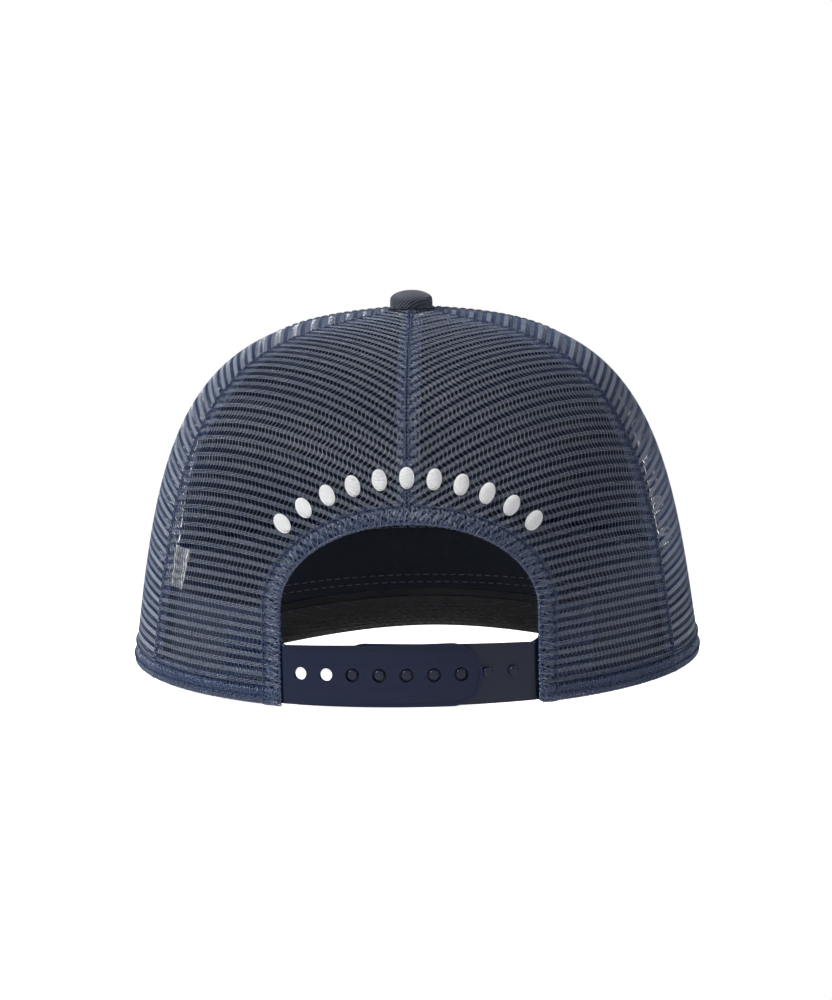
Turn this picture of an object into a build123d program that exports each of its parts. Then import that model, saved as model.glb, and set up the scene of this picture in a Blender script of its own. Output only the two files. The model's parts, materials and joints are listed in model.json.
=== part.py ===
"""A five-panel trucker cap with mesh sides and back, a curved visor and a plastic snap strap.

Everything is drawn about the centre of the head opening, with the hem in the plane z = 0, the
visor towards -Y, the wearer's left towards +X and +Z up. At the end the whole cap is tipped back
onto the front edge of its visor and its rear hem, the way it stands on a table, with the origin
under the middle of its box.
"""
from build123d import *
from math import asin, atan2, cos, degrees, radians, sin, sqrt, tan
import os

# ---- head opening and crown (mm) ----
half_width = 95.0        # hem, middle to side
half_depth = 100.0       # hem, middle to front or back
shoulder_height = 109.5  # hem to where the crown would end without its peak
peak = 7.3               # the seams draw the top up to the button by this much
crown_height = shoulder_height + peak
shoulder = 3.82          # how square the crown's side profile is (2 is an ellipse)
lean = 0.157             # how far the walls lean in over the crown's height
rivet_hole = 1.7         # radius of the hole that the button's rivet passes

# ---- layers of the crown, as depths under its outer face ----
panel = (0.0, 0.9)             # mesh panels and the front cloth
foam_layer = (1.0, 2.9)        # foam glued behind the front cloth
facing_layer = (1.05, 1.4)     # mesh turned in round the back opening
strip_layer = (1.1, 1.5)       # seam allowances inside the mesh seams
tape_layer = (3.1, 3.5)        # woven tape over the front seams
hem_layer = (1.05, 4.05)       # hem folded in between panel and sweatband
pad_layer = (3.1, 4.05)        # thin pad behind the forehead
band_layer = (4.2, 5.0)        # sweatband
label_layer = (5.1, 5.4)       # care label on the sweatband

# ---- where the panels meet, in degrees anticlockwise from +X ----
rear_seam = 90.0
rear_side_seam = 25.0          # left; the right one mirrors it
front_seam = -24.0             # left; the right one mirrors it

# ---- back opening, hem, sweatband and seams ----
front_rise = radians(3.5)      # the hem climbs at this slope over the visor
opening_half_width = 41.2
opening_straight = 30.0        # height of the opening's upright sides
opening_rise = 28.0            # height of the half ellipse above them
facing_width = 7.0
side_facing = 59.0             # the facing and the strap ends reach this far from the middle
hem_height = 8.0
band_height = 31.0
pad_height = 27.0
strip_width = 6.0
tape_width = 12.0
top_clearance = 11.0           # tapes, strips and foam end this far from the middle of the top

# ---- visor ----
visor_slope = radians(22.3)    # of the visor's middle line, below the leaning front hem
visor_length = 70.0            # beyond the hem, in the middle
visor_half_width = 87.0
visor_root = 42.0              # the visor's corners are this far in front of the side line
visor_square = 2.5             # exponent of its outline
hem_gap = 0.15                 # between the hem and the visor
visor_tuck = 1.5               # the visor's root is this far inside the hem's curve
under_cloth = 0.6
board = 1.9
top_cloth = 0.7
ply_gap = 0.05
rim_wrap = 0.8                 # the top cloth stands this far past the board and folds down

# ---- button ----
button_radius = 7.0
button_height = 4.9
button_rim = 1.8               # upright part of the button's side
button_skirt = 0.9             # the cover's edge hangs this far down round the crown's peak
button_cloth = 0.6
shank_length = 4.2
shank_radius = 1.5
washer_radius = 6.0
washer_drop = 3.3              # from the top of the crown down to the washer
washer_thick = 0.8

# ---- snap strap ----
strap_height = 20.0
strap_lift = 0.7               # the strap's lower edge clears the table by this much
strap_arc = 103.0              # radius of the outer strap's outer face, at the hem
strap_middle = 96.9            # that face at the middle of the back
strap_ply = 1.0                # thickness of each strap
strap_gap = 0.2                # between the two straps
strap_lean = radians(4.0)      # the straps follow the leaning wall
stud_pitch = 8.7
stud_count = 7
first_hole = 35.6              # along the arc, from the middle towards the left
first_stud = 18.2
hole_radius = 2.0
countersink = 0.3
stud_radius = 1.6
stud_height = 1.6
tip_beyond = 6.2               # strap end beyond its last hole or stud
rim_width = 1.1
rim_height = 0.3
band_ridge = 0.15              # raised band that the holes run along
band_ridge_height = 7.2
hinge_x = 39.7                 # where each strap bends, just inside the opening's edge

# ---- stitched ornament over the opening ----
motif_arc = 61.0
motif_top = 72.0               # height of its middle
motif_count = 11
motif_step = 8.2               # degrees
motif_long = 6.2
motif_wide = 4.4
thread_layer = (-0.7, -0.05)

stretch = half_depth / half_width


def profile_point(reach, height, angle):
    """A point of the crown's side profile, from the hem (angle 0) to the top (angle 90)."""
    rise = sin(radians(angle)) ** (2 / shoulder)
    run = cos(radians(angle)) ** (2 / shoulder) if angle < 90 else 0.0
    inward = run * (1 - lean * rise)
    return (reach * inward, (height + peak * (1 - inward) ** 2) * rise)


def profile_face(plane, reach, layer):
    """The crown's cut face between two depths: out along one profile, back along the other."""
    outer, inner = layer
    steps = [0, 0.4, 2, 6, 12, 20, 30, 40, 50, 60, 69, 76, 81, 85, 87.8, 89.3, 89.9, 90]
    out = [profile_point(reach - outer, shoulder_height - outer, a) for a in steps]
    back = [profile_point(reach - inner, shoulder_height - inner, a) for a in steps]
    with BuildSketch(plane) as face:
        with BuildLine():
            Spline(*out)
            Line(out[-1], back[-1])
            Spline(*back)
            Line(back[0], out[0])
        make_face()
    return face.sketch


def upright_plane(azimuth):
    """The upright plane through the middle whose x axis points along an azimuth."""
    a = radians(azimuth)
    return Plane(origin=(0, 0, 0), x_dir=(cos(a), sin(a), 0), z_dir=(sin(a), -cos(a), 0))


def crown_gore(layer, start, end):
    """A gore of the crown between two depths and two azimuths, with the rivet hole at its tip."""
    with BuildPart() as gore:
        section = profile_face(upright_plane(start), half_width, layer)
        revolve(section, axis=Axis.Z, revolution_arc=end - start)
        with BuildSketch():
            Circle(rivet_hole)
        extrude(amount=2 * crown_height, mode=Mode.SUBTRACT)
        scale(by=(1, stretch, 1))
    return gore.part


def half_moon(grow=0.0):
    """The back opening seen from behind, grown all round."""
    half = opening_half_width + grow
    top = opening_straight
    with BuildSketch(Plane.XZ) as outline:
        with BuildLine():
            Polyline((-half, top), (-half, -1), (half, -1), (half, top))
            EllipticalCenterArc((0, top), half, opening_rise + grow, start_angle=0, arc_size=180)
        make_face()
    return outline.sketch


def upright_rectangle(middle, low, width, height):
    """A rectangle seen from behind, by its middle, its lower edge and its size."""
    with BuildSketch(Plane.XZ) as outline:
        with Locations((middle, low + height / 2)):
            Rectangle(width, height)
    return outline.sketch


def through_back(outline, mode):
    """Cuts an outline through whatever stands at the back, or keeps only what is inside it."""
    extrude(outline, amount=-2 * half_depth, mode=mode)


def keep_slab(low, high):
    """Keeps what lies between two heights."""
    with BuildSketch(Plane.XY.offset(low)) as slab:
        Rectangle(4 * half_depth, 4 * half_depth)
    extrude(slab.sketch, amount=high - low, mode=Mode.INTERSECT)


def trim_front():
    """Cuts the front hem along the slope that the visor's root follows."""
    far = 2 * half_depth
    with BuildSketch(Plane.YZ.offset(-far)) as wedge:
        with BuildLine():
            Polyline(
                (-visor_root, 0),
                (-visor_root - far, far * tan(front_rise)),
                (-visor_root - far, -far),
                (-visor_root, -far),
                close=True,
            )
        make_face()
    extrude(wedge.sketch, amount=2 * far, mode=Mode.SUBTRACT)


def seam_strip(azimuth, layer, width, low):
    """A flat strip bent along a seam, from a height near the hem to short of the top."""
    a = radians(azimuth)
    across = sqrt((half_width * cos(a)) ** 2 + (half_depth * sin(a)) ** 2)
    true_azimuth = degrees(atan2(half_depth * sin(a), half_width * cos(a)))
    with BuildPart() as strip:
        extrude(profile_face(upright_plane(true_azimuth), across, layer), amount=width / 2, both=True)
        with BuildSketch():
            Circle(top_clearance)
        extrude(amount=2 * crown_height, mode=Mode.SUBTRACT)
        keep_slab(low, crown_height)
    return strip.part


def mirrored(part):
    """The same piece on the wearer's other side."""
    return mirror(part, about=Plane.YZ)


finished = {}


def finish(name, part):
    """Labels a piece and keeps it for seating and writing."""
    part.label = name
    finished[name] = part


# ---------------------------------------------------------------- crown panels
with BuildPart() as front_panel:
    add(crown_gore(panel, -180 - front_seam + 0.1, front_seam - 0.1))
    trim_front()
finish("front_panel", front_panel.part)

with BuildPart() as front_foam_backing:
    add(crown_gore(foam_layer, -180 - front_seam + 1.0, front_seam - 1.0))
    trim_front()
    with BuildSketch():
        Circle(top_clearance)
    extrude(amount=2 * crown_height, mode=Mode.SUBTRACT)
finish("front_foam_backing", front_foam_backing.part)

with BuildPart() as side_mesh:
    add(crown_gore(panel, front_seam + 0.1, rear_side_seam - 0.1))
    trim_front()
finish("side_mesh_left", side_mesh.part)
finish("side_mesh_right", mirrored(side_mesh.part))

with BuildPart() as rear_mesh:
    add(crown_gore(panel, rear_side_seam + 0.1, rear_seam - 0.1))
    through_back(half_moon(), Mode.SUBTRACT)
finish("rear_mesh_left", rear_mesh.part)
finish("rear_mesh_right", mirrored(rear_mesh.part))

# ---------------------------------------------------------------- facing, seams and hem
with BuildPart() as opening_facing:
    add(crown_gore(facing_layer, 30, 150))
    wings = upright_rectangle(0, 0, 2 * side_facing, opening_straight)
    through_back(half_moon(facing_width) + wings, Mode.INTERSECT)
    through_back(half_moon(), Mode.SUBTRACT)
    keep_slab(0, crown_height)
finish("opening_facing", opening_facing.part)

arch_top = opening_straight + opening_rise
side_strip = seam_strip(rear_side_seam, strip_layer, strip_width, band_height + 1)
finish("seam_strip_left", side_strip)
finish("seam_strip_right", mirrored(side_strip))
finish("seam_strip_rear", seam_strip(rear_seam, strip_layer, strip_width, arch_top + facing_width + 1))
front_tape = seam_strip(front_seam, tape_layer, tape_width, band_height + 1)
finish("seam_tape_front_left", front_tape)
finish("seam_tape_front_right", mirrored(front_tape))

with BuildPart() as hem_fold:
    add(crown_gore(hem_layer, front_seam + 0.5, rear_seam))
    keep_slab(0, hem_height)
    trim_front()
    through_back(upright_rectangle(0, -1, 2 * side_facing + 1, hem_height + 2), Mode.SUBTRACT)
finish("hem_fold_left", hem_fold.part)
finish("hem_fold_right", mirrored(hem_fold.part))

with BuildPart() as sweatband:
    add(crown_gore(band_layer, -90, 90))
    add(crown_gore(band_layer, 90, 270))
    keep_slab(0.3, band_height)
    trim_front()
    through_back(upright_rectangle(0, -1, 2 * opening_half_width + 8, band_height + 2), Mode.SUBTRACT)
finish("sweatband", sweatband.part)

with BuildPart() as sweatband_pad:
    add(crown_gore(pad_layer, -180 - front_seam + 4, front_seam - 4))
    keep_slab(1.0, pad_height)
    trim_front()
finish("sweatband_pad", sweatband_pad.part)

with BuildPart() as care_label:
    add(crown_gore(label_layer, 12, 34))
    keep_slab(14, 45)
    with BuildSketch(Plane.YZ):
        with Locations((36, 29.5)):
            Rectangle(19, 31)
    extrude(amount=2 * half_width, mode=Mode.INTERSECT)
finish("care_label", care_label.part)


# ---------------------------------------------------------------- visor
visor_reach = visor_length + half_depth - visor_root
total_ply = under_cloth + board + top_cloth
visor_frame = Plane(origin=(0, -visor_root, 0), x_dir=(1, 0, 0), z_dir=(0, sin(front_rise), cos(front_rise)))
visor_root_depth = hem_gap + total_ply
root_reach = half_depth - visor_tuck - visor_root
root_half = (half_width - visor_tuck) * sqrt(1 - (visor_root / (half_depth - visor_tuck)) ** 2)
root_sag = root_reach * tan(visor_slope)
bend_radius = (root_half**2 + root_sag**2) / (2 * root_sag)


def visor_height(across, forward):
    """Height of the visor's underside over the sloping hem: a cylinder that slopes down forward."""
    sag = bend_radius - sqrt(bend_radius**2 - across**2)
    return root_sag - visor_root_depth - tan(visor_slope) * forward - sag


def visor_rim(grow):
    """Points along the visor's outer edge from above, from the left corner round to the right."""
    rim = []
    for a in [0, 4, 12, 24, 38, 52, 66, 78, 86, 90, 94, 102, 114, 128, 142, 156, 168, 176, 180]:
        c, s = cos(radians(a)), sin(radians(a))
        x = (visor_half_width + grow) * abs(c) ** (2 / visor_square)
        y = (visor_reach + grow) * abs(s) ** (2 / visor_square)
        rim.append((x if c > 0 else -x, -visor_root - y))
    return rim


def visor_outline(grow, inner_inset, low):
    """The visor from above: its rim in front of the hem's own curve."""
    rim = visor_rim(grow)
    with BuildSketch(Plane.XY.offset(low)) as outline:
        with BuildLine():
            Spline(*rim)
            Line(rim[-1], rim[0])
        make_face()
        Ellipse(half_width - inner_inset, half_depth - inner_inset, mode=Mode.SUBTRACT)
    return outline.sketch


def visor_ply(low, high, grow, inner_inset=visor_tuck):
    """One layer of the visor, between two heights over its underside."""
    start, side = -10.0, visor_half_width + 5
    behind = Plane(
        origin=(visor_frame * Location((0, -start, 0))).position, x_dir=(1, 0, 0), z_dir=-visor_frame.y_dir
    )
    low_edge, high_edge = (
        [(x, visor_height(x, start) + rise) for x in (-side, 0, side)] for rise in (low, high)
    )
    down = visor_frame.z_dir * -sin(visor_slope) - visor_frame.y_dir * cos(visor_slope)
    with BuildPart() as ply:
        with BuildSketch(behind):
            with BuildLine():
                ThreePointArc(*low_edge)
                Line(low_edge[-1], high_edge[-1])
                ThreePointArc(*high_edge[::-1])
                Line(high_edge[0], low_edge[0])
            make_face()
        extrude(amount=(visor_reach + 30) / cos(visor_slope), dir=down)
        extrude(visor_outline(grow, inner_inset, -60), amount=100, mode=Mode.INTERSECT)
    return ply.part


with BuildPart() as visor_under_cloth:
    add(visor_ply(0, under_cloth - ply_gap, 0))
finish("visor_under_cloth", visor_under_cloth.part)

with BuildPart() as visor_board:
    add(visor_ply(under_cloth, under_cloth + board - ply_gap, 0))
finish("visor_board", visor_board.part)

with BuildPart() as visor_top_cloth:
    add(visor_ply(0.3, total_ply, rim_wrap))
    add(visor_ply(-1, under_cloth + board, ply_gap, inner_inset=9), mode=Mode.SUBTRACT)
finish("visor_top_cloth", visor_top_cloth.part)

# ---------------------------------------------------------------- button
button_base = crown_height + 0.05


def dome_profile(radius, low, height):
    """Half the cut face of a low dome with an upright rim, for turning about the middle."""
    shoulder_at = button_base + button_rim
    crown = height - button_rim
    with BuildSketch(Plane.XZ) as face:
        with BuildLine():
            Polyline((0, button_base + height), (0, low), (radius, low), (radius, shoulder_at))
            Spline(
                (radius, shoulder_at),
                (radius * cos(radians(45)), shoulder_at + crown * sin(radians(45))),
                (0, button_base + height),
                tangents=[(0, 1), (-1, 0)],
            )
        make_face()
    return face.sketch


with BuildPart() as button_core:
    revolve(dome_profile(button_radius - button_cloth - 0.05, button_base, button_height - button_cloth - 0.05))
    with BuildSketch(Plane.XY.offset(button_base)):
        Circle(shank_radius)
    extrude(amount=-shank_length)
finish("button_core", button_core.part)

with BuildPart() as button_cover:
    revolve(dome_profile(button_radius, button_base - button_skirt, button_height))
    hollow = dome_profile(
        button_radius - button_cloth, button_base - 2 * button_skirt, button_height - button_cloth
    )
    revolve(hollow, mode=Mode.SUBTRACT)
finish("button_cover", button_cover.part)

with BuildPart() as button_washer:
    with BuildSketch(Plane.XY.offset(crown_height - washer_drop)):
        Circle(washer_radius)
        Circle(shank_radius + 0.05, mode=Mode.SUBTRACT)
    extrude(amount=washer_thick)
    fillet(button_washer.edges().filter_by(GeomType.CIRCLE).group_by(SortBy.RADIUS)[-1], 0.3)
finish("button_washer", button_washer.part)

# ---------------------------------------------------------------- snap strap
strap_centre = strap_middle - strap_arc
inner_arc = strap_arc - strap_ply - strap_gap
hinge_angle = degrees(asin(hinge_x / (strap_arc - strap_ply)))
mid_height = strap_lift + strap_height / 2


def strap_angle(along):
    """The angle from the middle of the back, for a distance along the outer strap."""
    return degrees(along / strap_arc)


def strap_plane(angle, radius, height):
    """A plane lying on a strap's outer face, with its z axis pointing out of the strap."""
    a = radians(angle)
    r = radius - height * tan(strap_lean)
    outward = (sin(a) * cos(strap_lean), cos(a) * cos(strap_lean), sin(strap_lean))
    place = (r * sin(a), strap_centre + r * cos(a), height)
    return Plane(origin=place, x_dir=(-cos(a), sin(a), 0), z_dir=outward)


def strap_band(radius, thickness, start, end):
    """A leaning arc of strap between two angles from the middle of the back, outer face first."""
    low, high = strap_lift, strap_lift + strap_height
    a = radians(end)
    cut = Plane(origin=(0, strap_centre, 0), x_dir=(sin(a), cos(a), 0), z_dir=(cos(a), -sin(a), 0))
    with BuildPart() as band:
        with BuildSketch(cut):
            with BuildLine():
                Polyline(
                    (radius - low * tan(strap_lean), low),
                    (radius - thickness - low * tan(strap_lean), low),
                    (radius - thickness - high * tan(strap_lean), high),
                    (radius - high * tan(strap_lean), high),
                    close=True,
                )
            make_face()
        revolve(axis=Axis((0, strap_centre, 0), (0, 0, 1)), revolution_arc=end - start)
    return band.part


def tongue(tip, side, height, mode):
    """Keeps or cuts a tongue of one height with a round end at an angle, running back to one side."""
    run = 90
    with BuildSketch(strap_plane(tip, strap_arc, mid_height)) as outline:
        with Locations((-side * height / 2, 0)):
            Circle(height / 2)
        with Locations((-side * (height / 2 + run / 2), 0)):
            Rectangle(run, height)
    extrude(outline.sketch, amount=30, both=True, mode=mode)


outer_tip = strap_angle(first_hole - (stud_count - 1) * stud_pitch - tip_beyond - 0.8)
inner_tip = strap_angle(first_stud + tip_beyond)
rim_inset = strap_angle(rim_width)

with BuildPart() as outer_rim:
    add(strap_band(strap_arc + rim_height, rim_height + 0.1, outer_tip - 1, hinge_angle - 0.4))
    tongue(outer_tip, 1, strap_height, Mode.INTERSECT)
    tongue(outer_tip + rim_inset, 1, strap_height - 2 * rim_width, Mode.SUBTRACT)

with BuildPart() as outer_ridge:
    add(strap_band(strap_arc + band_ridge, band_ridge + 0.1, outer_tip - 1, hinge_angle - 0.4))
    tongue(outer_tip + 2 * rim_inset, 1, band_ridge_height, Mode.INTERSECT)

with BuildPart() as strap_with_holes:
    add(strap_band(strap_arc, strap_ply, outer_tip - 1, hinge_angle))
    tongue(outer_tip, 1, strap_height, Mode.INTERSECT)
    add(outer_rim.part)
    add(outer_ridge.part)
    for k in range(stud_count):
        angle = strap_angle(first_hole - k * stud_pitch)
        with BuildSketch(strap_plane(angle, strap_arc + band_ridge + 1, mid_height)):
            Circle(hole_radius)
        extrude(amount=-4, mode=Mode.SUBTRACT)
        with BuildSketch(strap_plane(angle, strap_arc + band_ridge, mid_height)):
            Circle(hole_radius + countersink)
        extrude(amount=-countersink, taper=45, mode=Mode.SUBTRACT)
finish("strap_with_holes", strap_with_holes.part)

with BuildPart() as strap_with_studs:
    add(strap_band(inner_arc, strap_ply, -hinge_angle, inner_tip + 1))
    tongue(inner_tip, -1, strap_height, Mode.INTERSECT)
    for k in range(stud_count):
        angle = strap_angle(first_stud - k * stud_pitch)
        with BuildSketch(strap_plane(angle, inner_arc - 0.3, mid_height)):
            Circle(stud_radius)
        extrude(amount=stud_height + 0.3)
    heads = strap_with_studs.edges().filter_by(GeomType.CIRCLE)
    fillet(heads.group_by(SortBy.RADIUS)[0].filter_by(lambda e: e.is_closed), 0.55)
finish("strap_with_studs", strap_with_studs.part)


def strap_anchor(outer_depth):
    """The sewn end of a strap, between the facing and the sweatband, on the left."""
    with BuildPart() as anchor:
        add(crown_gore((outer_depth, outer_depth + strap_ply), 45, 80))
        keep_slab(strap_lift, strap_lift + strap_height)
        start = hinge_x + 0.9
        sewn = upright_rectangle((start + side_facing) / 2, -1, side_facing - start, strap_height + 2)
        through_back(sewn, Mode.INTERSECT)
    return anchor.part


finish("strap_anchor_left", strap_anchor(1.5))
finish("strap_anchor_right", mirrored(strap_anchor(1.5 + strap_ply + strap_gap)))

# ---------------------------------------------------------------- stitched ornament
with BuildPart() as rear_embroidery:
    add(crown_gore(thread_layer, 50, 130))
    with BuildSketch(Plane.XZ):
        for k in range(motif_count):
            turn = (k - (motif_count - 1) / 2) * motif_step
            t = radians(turn)
            place = (motif_arc * sin(t), motif_top - motif_arc + motif_arc * cos(t))
            with Locations(Location((place[0], place[1], 0), (0, 0, -turn))):
                Ellipse(motif_wide / 2, motif_long / 2)
    extrude(amount=-2 * half_depth, mode=Mode.INTERSECT)
finish("rear_embroidery", rear_embroidery.part)

# ---------------------------------------------------------------- seat the cap and write it
def contact_tilt(point):
    """The tilt at which a point of the visor's lower rim would meet a table with the rear hem."""
    x, y = point
    rear = half_depth * sqrt(1 - (opening_half_width / half_width) ** 2)
    forward = (-visor_root - y) / cos(front_rise)
    height = visor_height(x, forward)
    lower = forward * sin(front_rise) + height * cos(front_rise)
    return degrees(atan2(-lower, rear - y))


tilt = max(contact_tilt(point) for point in visor_rim(0))
tipped = {name: Rot(-tilt, 0, 0) * part for name, part in finished.items()}
boxes = [part.bounding_box() for part in tipped.values()]
low = [min(tuple(box.min)[i] for box in boxes) for i in range(3)]
high = [max(tuple(box.max)[i] for box in boxes) for i in range(3)]
seat = Location((-(low[0] + high[0]) / 2, -(low[1] + high[1]) / 2, -low[2]))
print("tilt", round(tilt, 3), "shift", [round(v, 3) for v in seat.position])
print("size", [round(h - l, 2) for l, h in zip(low, high)])

os.makedirs("parts", exist_ok=True)
for name, part in tipped.items():
    piece = seat * part
    piece.label = name
    export_step(piece, f"parts/{name}.step")
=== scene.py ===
"""Looks of a five-panel trucker cap: knitted mesh sides and back, cloth front and visor, snap strap."""

import json
import math

import bmesh
import bpy
import numpy as np
from mathutils import Matrix, Quaternion, Vector


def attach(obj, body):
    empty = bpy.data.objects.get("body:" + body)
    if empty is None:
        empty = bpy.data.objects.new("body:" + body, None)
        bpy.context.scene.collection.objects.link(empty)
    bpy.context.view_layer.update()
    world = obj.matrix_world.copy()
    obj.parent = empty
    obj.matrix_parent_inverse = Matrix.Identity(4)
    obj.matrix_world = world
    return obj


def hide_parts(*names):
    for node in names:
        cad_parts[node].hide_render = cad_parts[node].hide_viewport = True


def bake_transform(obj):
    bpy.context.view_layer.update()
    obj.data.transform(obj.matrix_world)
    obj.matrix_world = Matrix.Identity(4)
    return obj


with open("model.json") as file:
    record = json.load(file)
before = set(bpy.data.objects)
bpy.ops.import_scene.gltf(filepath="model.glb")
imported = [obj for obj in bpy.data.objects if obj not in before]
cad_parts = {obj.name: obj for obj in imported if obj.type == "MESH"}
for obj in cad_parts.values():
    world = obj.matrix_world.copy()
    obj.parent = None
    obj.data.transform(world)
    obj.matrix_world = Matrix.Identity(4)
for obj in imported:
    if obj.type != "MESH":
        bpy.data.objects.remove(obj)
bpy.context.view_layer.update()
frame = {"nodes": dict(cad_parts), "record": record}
rng = np.random.default_rng(11)

# ---- the head opening's frame, in which every cloth piece is worked out in millimetres ----
MOUNT = frame["record"]["mounts"][0]
ORIGIN = np.array(MOUNT["pos_m"], float)
RING_Z = -np.array(MOUNT["axis"], float)
RING_Z /= np.linalg.norm(RING_Z)
RING_X = np.array([1.0, 0.0, 0.0])
RING_Y = np.cross(RING_Z, RING_X)
RING = np.stack([RING_X, RING_Y, RING_Z]) * 0.001

# ---- crown; the seams' azimuths are in degrees, from the wearer's left round to the back ----
HALF_WIDTH, HALF_DEPTH, SHOULDER, PEAK = 95.0, 100.0, 109.5, 7.3
CROWN = SHOULDER + PEAK
STRETCH = HALF_DEPTH / HALF_WIDTH
POWER = 3.82
LEAN = 0.157
REAR_SEAM, SIDE_SEAM, FRONT_SEAM = 90.0, 25.0, -24.0
OTHER_FRONT_SEAM = -180 - FRONT_SEAM
PANEL_DEPTH = 0.9
FRONT_RISE = math.radians(3.5)
VISOR_ROOT = 42.0
BAND_HEIGHT = 31.0

# ---- back opening ----
OPEN_HALF, OPEN_STRAIGHT, OPEN_RISE = 41.2, 30.0, 28.0
FACING, SIDE_FACING = 7.0, 59.0

# ---- knit; the squares are the azimuths at which the panels' rows run level ----
WALE_PITCH, ROW_PERIOD = 1.63, 5.9
WALE_RADIUS, RUNG_RADIUS = 0.13, 0.075
SIDE_PITCH, SIDE_WALE, SIDE_RUNG = 1.5, 0.20, 0.14
REAR_SQUARE, SIDE_SQUARE = 44.0, 0.5
SLANT = 0.65
WANDER = 0.045
KNIT_DEPTH, RUNG_LAP = 0.45, 0.06
SEAM_CLEAR, HEM_CLEAR, TOP_CLEAR, SEAM_TOP_RADIUS = 0.1, 0.3, 5, 9
STITCH_COVER = 0.72

# ---- visor ----
SLOPE = math.radians(22.3)
VISOR_HALF, VISOR_REACH, VISOR_POWER = 87.0, 128.0, 2.5
VISOR_TUCK = 1.5
UNDER, BOARD, TOP = 0.6, 1.9, 0.7
PLIES = UNDER + BOARD + TOP
HEM_GAP = 0.15
ROOT_HALF = (HALF_WIDTH - VISOR_TUCK) * math.sqrt(1 - (VISOR_ROOT / (HALF_DEPTH - VISOR_TUCK)) ** 2)
ROOT_SAG = (HALF_DEPTH - VISOR_TUCK - VISOR_ROOT) * math.tan(SLOPE)
BEND_RADIUS = (ROOT_HALF**2 + ROOT_SAG**2) / (2 * ROOT_SAG)
RIM_LENGTH = 330.0

# ---- front tapes ----
TAPE_HALF, TAPE_DEPTH = 6.0, 3.1

# ---- cloth patterns: flat coordinates in centimetres, and the period of a wave texture at scale 1 ----
MEAN_RADIUS = 97
FLAT_SCALE = 0.1
WAVE_PERIOD = 0.314


def unit(v):
    return v / np.maximum(np.linalg.norm(v, axis=-1, keepdims=True), 1e-12)


def crown(theta, phi, depth=0.0):
    """A point of the crown, at an azimuth, a profile angle (0 hem, pi/2 top) and a depth."""
    rise = np.sin(phi) ** (2 / POWER)
    run = np.maximum(np.cos(phi), 0) ** (2 / POWER)
    inward = run * (1 - LEAN * rise)
    r = (HALF_WIDTH - depth) * inward
    z = (SHOULDER - depth + PEAK * (1 - inward) ** 2) * rise
    return np.stack([r * np.cos(theta), r * np.sin(theta) * STRETCH, z], -1)


def crown_normal(theta, phi):
    e = 1e-3
    p = np.clip(phi, 3e-3, math.pi / 2 - 3e-3)
    a = crown(theta + e, p) - crown(theta - e, p)
    b = crown(theta, p + e) - crown(theta, p - e)
    return unit(np.cross(a, b))


def distances(p):
    """How far along a line of points each one is."""
    return np.concatenate([[0], np.cumsum(np.linalg.norm(np.diff(p, axis=0), axis=1))])


PHIS = math.pi / 2 * np.sin(np.linspace(0, math.pi / 2, 20001)) ** 2
PROFILE = crown(np.zeros_like(PHIS), PHIS)[:, [0, 2]]
ARC = distances(PROFILE)
RATIO = PROFILE[:, 1] / np.maximum(PROFILE[:, 0], 1e-6)


def phi_at(arc):
    return np.interp(arc, ARC, PHIS)


def phi_of_height(z):
    return np.interp(z, PROFILE[:, 1], PHIS)


def arc_of_height(z):
    return np.interp(phi_of_height(z), PHIS, ARC)


def azimuth_of_x(x, phi):
    """The azimuth behind the middle line at which the crown passes a distance x to the side."""
    r = crown(np.zeros_like(phi), phi)[..., 0]
    return np.arccos(np.clip(x / np.maximum(r, 1e-6), -1, 1))


def in_opening(p, grow=0.0):
    """Whether points are in the back opening, grown all round."""
    x, z = np.abs(p[..., 0]), p[..., 2]
    half = OPEN_HALF + grow
    arch = (x / half) ** 2 + (np.maximum(z - OPEN_STRAIGHT, 0) / (OPEN_RISE + grow)) ** 2 < 1
    return (p[..., 1] > 0) & (x < half) & arch


class Gore:
    """A panel of flat knit laid on the crown: x runs along its rows, y up its middle."""

    def __init__(self, start, end, square):
        self.mid = math.radians(square)
        self.ends = math.radians(start - square), math.radians(end - square)
        self.rows = np.arange(0, ARC[-1] - 1.0, 1.0)
        self.delta = np.linspace(*self.ends, 97)
        ratio = np.interp(phi_at(self.rows), PHIS, RATIO)
        phi = np.interp(ratio[:, None] * np.cos(self.delta), RATIO, PHIS)
        p = crown(self.mid + self.delta, phi)
        run = np.cumsum(np.linalg.norm(np.diff(p, axis=1), axis=2), axis=1)
        run = np.concatenate([np.zeros((len(run), 1)), run], 1)
        middle = np.array([np.interp(0, self.delta, row) for row in run])
        self.run = run - middle[:, None]

    def turn(self, x, row):
        run = self.run[row]
        inside = np.interp(x, run, self.delta)
        before = self.ends[0] * x / min(run[0], -0.5)
        after = self.ends[1] * x / max(run[-1], 0.5)
        return np.where(x < run[0], before, np.where(x > run[-1], after, inside))

    def place(self, ys, xs):
        low = np.clip(np.floor(ys).astype(int), 0, len(self.rows) - 2)
        d = np.empty_like(xs)
        for i, (y, row) in enumerate(zip(ys, low)):
            w = y - row
            d[i] = (1 - w) * self.turn(xs[i], row) + w * self.turn(xs[i], row + 1)
        ratio = np.interp(phi_at(ys), PHIS, RATIO)[:, None]
        phi = np.interp(ratio * np.cos(np.clip(d, -1.3, 1.3)), RATIO, PHIS)
        return self.mid + d, phi, (d >= self.ends[0]) & (d <= self.ends[1])


def place_behind(ys, xs):
    """Knit that hangs straight behind the head: x across, y the height."""
    z = np.broadcast_to(ys[:, None], xs.shape)
    phi = phi_of_height(z)
    return azimuth_of_x(xs, phi), phi, z >= 0


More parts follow.
